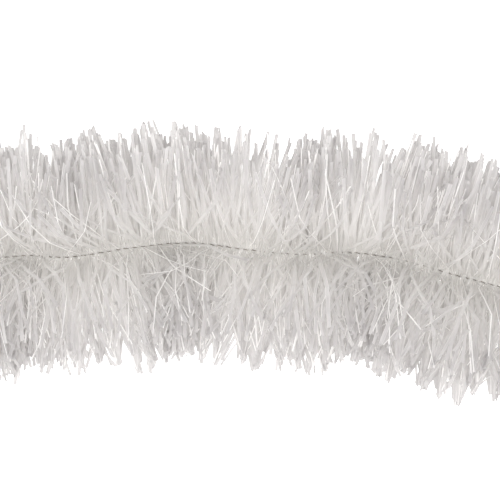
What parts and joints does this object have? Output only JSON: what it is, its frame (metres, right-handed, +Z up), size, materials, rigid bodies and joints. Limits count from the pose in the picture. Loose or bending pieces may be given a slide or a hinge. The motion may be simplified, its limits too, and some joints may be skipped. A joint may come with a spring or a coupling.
{
  "type": "film fringe boa",
  "caption": "Long soft costume boa of slit film fringe twisted into a flexible wire core, lying in an open ring; its length bends sideways and lifts.",
  "frame": {"origin": "on the table, under the core at the middle of the boa's length", "axes": "+X along the middle run, to the right; +Z up from the table; the two arms of the ring run towards -Y"},
  "size_m": [0.8503, 0.7192, 0.079],
  "materials": {
    "film_fringe": "thin milky white film slit into strips, glossy, warm at the cut ends and grey green near the core",
    "core_wire": "thin dark steel wire, dull, two strands twisted together"
  },
  "bodies": {
    "left_6": {"core_length_01": "core_wire", "fringe_tuft_01": "film_fringe", "fringe_tuft_02": "film_fringe", "fringe_tuft_03": "film_fringe", "end_fold_left": "core_wire"},
    "left_5": {"core_length_02": "core_wire", "fringe_tuft_04": "film_fringe", "fringe_tuft_05": "film_fringe", "fringe_tuft_06": "film_fringe"},
    "left_4": {"core_length_03": "core_wire", "fringe_tuft_07": "film_fringe", "fringe_tuft_08": "film_fringe", "fringe_tuft_09": "film_fringe"},
    "left_3": {"core_length_04": "core_wire", "fringe_tuft_10": "film_fringe", "fringe_tuft_11": "film_fringe", "fringe_tuft_12": "film_fringe"},
    "left_2": {"core_length_05": "core_wire", "fringe_tuft_13": "film_fringe", "fringe_tuft_14": "film_fringe", "fringe_tuft_15": "film_fringe"},
    "left_1": {"core_length_06": "core_wire", "fringe_tuft_16": "film_fringe", "fringe_tuft_17": "film_fringe", "fringe_tuft_18": "film_fringe"},
    "middle": {"core_length_07": "core_wire", "fringe_tuft_19": "film_fringe", "fringe_tuft_20": "film_fringe", "fringe_tuft_21": "film_fringe"},
    "right_1": {"core_length_08": "core_wire", "fringe_tuft_22": "film_fringe", "fringe_tuft_23": "film_fringe", "fringe_tuft_24": "film_fringe"},
    "right_2": {"core_length_09": "core_wire", "fringe_tuft_25": "film_fringe", "fringe_tuft_26": "film_fringe", "fringe_tuft_27": "film_fringe"},
    "right_3": {"core_length_10": "core_wire", "fringe_tuft_28": "film_fringe", "fringe_tuft_29": "film_fringe", "fringe_tuft_30": "film_fringe"},
    "right_4": {"core_length_11": "core_wire", "fringe_tuft_31": "film_fringe", "fringe_tuft_32": "film_fringe", "fringe_tuft_33": "film_fringe"},
    "right_5": {"core_length_12": "core_wire", "fringe_tuft_34": "film_fringe", "fringe_tuft_35": "film_fringe", "fringe_tuft_36": "film_fringe"},
    "right_6": {"core_length_13": "core_wire", "fringe_tuft_37": "film_fringe", "fringe_tuft_38": "film_fringe", "fringe_tuft_39": "film_fringe", "end_fold_right": "core_wire"}
  },
  "joints": [
    {"name": "left_bend_1", "type": "hinge", "parent": "middle", "child": "left_1", "pos_m": [-0.06878, -0.00032, 0.037], "axis": [0, 0, -1], "range_deg": [-33, 26]},
    {"name": "left_lift_2", "type": "hinge", "parent": "left_1", "child": "left_2", "pos_m": [-0.2036, -0.0256, 0.037], "axis": [-0.4581, 0.8889, 0], "range_deg": [0, 30]},
    {"name": "left_bend_3", "type": "hinge", "parent": "left_2", "child": "left_3", "pos_m": [-0.30494, -0.1179, 0.037], "axis": [0, 0, 1], "range_deg": [-39, 20]},
    {"name": "left_lift_4", "type": "hinge", "parent": "left_3", "child": "left_4", "pos_m": [-0.35637, -0.24565, 0.037], "axis": [-0.9791, 0.2036, 0], "range_deg": [0, 30]},
    {"name": "left_bend_5", "type": "hinge", "parent": "left_4", "child": "left_5", "pos_m": [-0.36013, -0.38344, 0.037], "axis": [0, 0, -1], "range_deg": [-24, 35]},
    {"name": "left_bend_6", "type": "hinge", "parent": "left_5", "child": "left_6", "pos_m": [-0.32302, -0.51635, 0.037], "axis": [0, 0, 1], "range_deg": [-34, 25]},
    {"name": "right_bend_1", "type": "hinge", "parent": "middle", "child": "right_1", "pos_m": [0.06893, -0.00359, 0.037], "axis": [0, 0, 1], "range_deg": [-12, 47]},
    {"name": "right_lift_2", "type": "hinge", "parent": "right_1", "child": "right_2", "pos_m": [0.20175, -0.04213, 0.037], "axis": [-0.4018, -0.9157, 0], "range_deg": [0, 30]},
    {"name": "right_bend_3", "type": "hinge", "parent": "right_2", "child": "right_3", "pos_m": [0.31265, -0.12297, 0.037], "axis": [0, 0, -1], "range_deg": [-40, 19]},
    {"name": "right_lift_4", "type": "hinge", "parent": "right_3", "child": "right_4", "pos_m": [0.36724, -0.24807, 0.037], "axis": [-0.9907, -0.1364, 0], "range_deg": [0, 30]},
    {"name": "right_bend_5", "type": "hinge", "parent": "right_4", "child": "right_5", "pos_m": [0.35512, -0.38509, 0.037], "axis": [0, 0, 1], "range_deg": [-26, 33]},
    {"name": "right_bend_6", "type": "hinge", "parent": "right_5", "child": "right_6", "pos_m": [0.31203, -0.51661, 0.037], "axis": [0, 0, -1], "range_deg": [-28, 31]}
  ]
}
